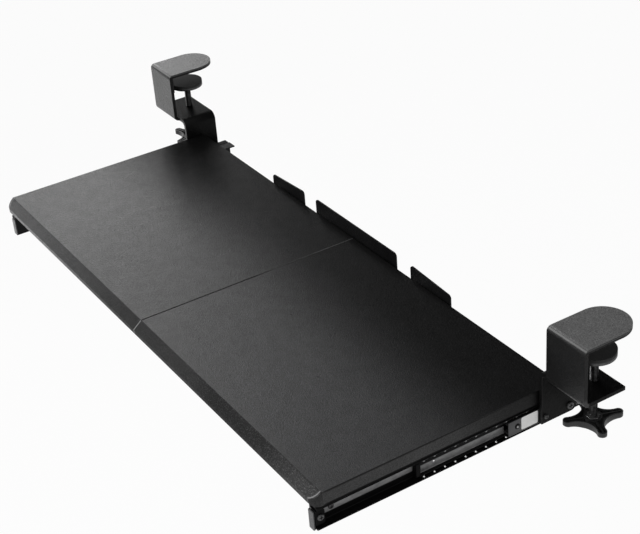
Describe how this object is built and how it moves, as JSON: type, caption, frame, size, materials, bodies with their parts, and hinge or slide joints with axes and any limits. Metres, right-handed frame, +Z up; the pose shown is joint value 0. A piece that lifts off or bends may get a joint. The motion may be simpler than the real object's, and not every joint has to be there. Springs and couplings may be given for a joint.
{
  "type": "under-desk keyboard tray",
  "caption": "Clamp-on sliding keyboard tray: a two-piece bevelled platform on telescopic ball rails, hung from desk-edge clamps with star knobs.",
  "frame": {"origin": "midway between the two clamps, on the desk's top surface at its front edge", "axes": "+X to the right along the desk edge, +Y towards the back of the desk, +Z up"},
  "size_m": [0.8252, 0.3105, 0.1258],
  "materials": {
    "board": "textured black board",
    "black_steel": "black powder coat",
    "bright_steel": "polished",
    "dark_steel": "black oxide",
    "black_plastic": "satin moulded",
    "black_rubber": "matte"
  },
  "bodies": {
    "clamps": {"left_clamp_bracket": "black_steel", "right_clamp_bracket": "black_steel", "left_clamp_liner": "black_rubber", "right_clamp_liner": "black_rubber", "left_clamp_nut": "dark_steel", "right_clamp_nut": "dark_steel", "left_rail_fixed": "dark_steel", "right_rail_fixed": "dark_steel", "left_rail_rivet": "dark_steel", "right_rail_rivet": "dark_steel", "left_side_screws": "dark_steel", "right_side_screws": "dark_steel"},
    "tray": {"platform_left": "board", "platform_right": "board", "backstop_left": "black_steel", "backstop_centre": "black_steel", "backstop_right": "black_steel", "joining_plate_front": "black_steel", "joining_plate_rear": "black_steel", "platform_screws": "dark_steel", "left_rail_bracket": "black_steel", "right_rail_bracket": "black_steel", "left_rail_outer": "dark_steel", "right_rail_outer": "dark_steel", "left_rail_bumper": "black_rubber", "right_rail_bumper": "black_rubber", "left_bumper_screw": "dark_steel", "right_bumper_screw": "dark_steel", "left_rail_screws": "dark_steel", "right_rail_screws": "dark_steel"},
    "left_middle_rail": {"left_rail_middle": "dark_steel", "left_middle_stop": "black_plastic"},
    "left_outer_cage": {"left_rail_cage": "dark_steel", "left_rail_balls": "bright_steel"},
    "left_inner_cage": {"left_inner_cage": "dark_steel", "left_inner_balls": "bright_steel"},
    "left_pad": {"left_clamp_pad": "dark_steel", "left_pad_rubber": "black_rubber"},
    "left_screw": {"left_clamp_screw": "dark_steel", "left_star_knob": "black_plastic", "left_knob_nut": "dark_steel"},
    "right_middle_rail": {"right_rail_middle": "dark_steel", "right_middle_stop": "black_plastic"},
    "right_outer_cage": {"right_rail_cage": "dark_steel", "right_rail_balls": "bright_steel"},
    "right_inner_cage": {"right_inner_cage": "dark_steel", "right_inner_balls": "bright_steel"},
    "right_pad": {"right_clamp_pad": "dark_steel", "right_pad_rubber": "black_rubber"},
    "right_screw": {"right_clamp_screw": "dark_steel", "right_star_knob": "black_plastic", "right_knob_nut": "dark_steel"}
  },
  "joints": [
    {"name": "tray_slide", "type": "slide", "parent": "clamps", "child": "tray", "axis": [0, 1, 0], "range_m": [0, 0.192]},
    {"name": "left_middle_rail_slide", "type": "slide", "parent": "clamps", "child": "left_middle_rail", "axis": [0, 1, 0], "range_m": [0, 0.096]},
    {"name": "left_outer_cage_slide", "type": "slide", "parent": "clamps", "child": "left_outer_cage", "axis": [0, 1, 0], "range_m": [0, 0.144]},
    {"name": "left_inner_cage_slide", "type": "slide", "parent": "clamps", "child": "left_inner_cage", "axis": [0, 1, 0], "range_m": [0, 0.048]},
    {"name": "left_pad_lift", "type": "slide", "parent": "clamps", "child": "left_pad", "axis": [0, 0, 1], "range_m": [-0.0238, 0.0157]},
    {"name": "left_screw_turn", "type": "hinge", "parent": "left_pad", "child": "left_screw", "pos_m": [-0.3855, 0.028, -0.06], "axis": [0, 0, 1], "range_deg": [-6860, 4530]},
    {"name": "right_middle_rail_slide", "type": "slide", "parent": "clamps", "child": "right_middle_rail", "axis": [0, 1, 0], "range_m": [0, 0.096]},
    {"name": "right_outer_cage_slide", "type": "slide", "parent": "clamps", "child": "right_outer_cage", "axis": [0, 1, 0], "range_m": [0, 0.144]},
    {"name": "right_inner_cage_slide", "type": "slide", "parent": "clamps", "child": "right_inner_cage", "axis": [0, 1, 0], "range_m": [0, 0.048]},
    {"name": "right_pad_lift", "type": "slide", "parent": "clamps", "child": "right_pad", "axis": [0, 0, 1], "range_m": [-0.0238, 0.0157]},
    {"name": "right_screw_turn", "type": "hinge", "parent": "right_pad", "child": "right_screw", "pos_m": [0.3855, 0.028, -0.06], "axis": [0, 0, 1], "range_deg": [-6860, 4530]}
  ],
  "couplings": [
    {"joint": "left_middle_rail_slide", "follows": "tray_slide", "ratio": 0.5},
    {"joint": "left_outer_cage_slide", "follows": "tray_slide", "ratio": 0.75},
    {"joint": "left_inner_cage_slide", "follows": "tray_slide", "ratio": 0.25},
    {"joint": "left_screw_turn", "follows": "left_pad_lift", "rad_per_m": 5026.5},
    {"joint": "right_middle_rail_slide", "follows": "tray_slide", "ratio": 0.5},
    {"joint": "right_outer_cage_slide", "follows": "tray_slide", "ratio": 0.75},
    {"joint": "right_inner_cage_slide", "follows": "tray_slide", "ratio": 0.25},
    {"joint": "right_screw_turn", "follows": "right_pad_lift", "rad_per_m": 5026.5}
  ]
}
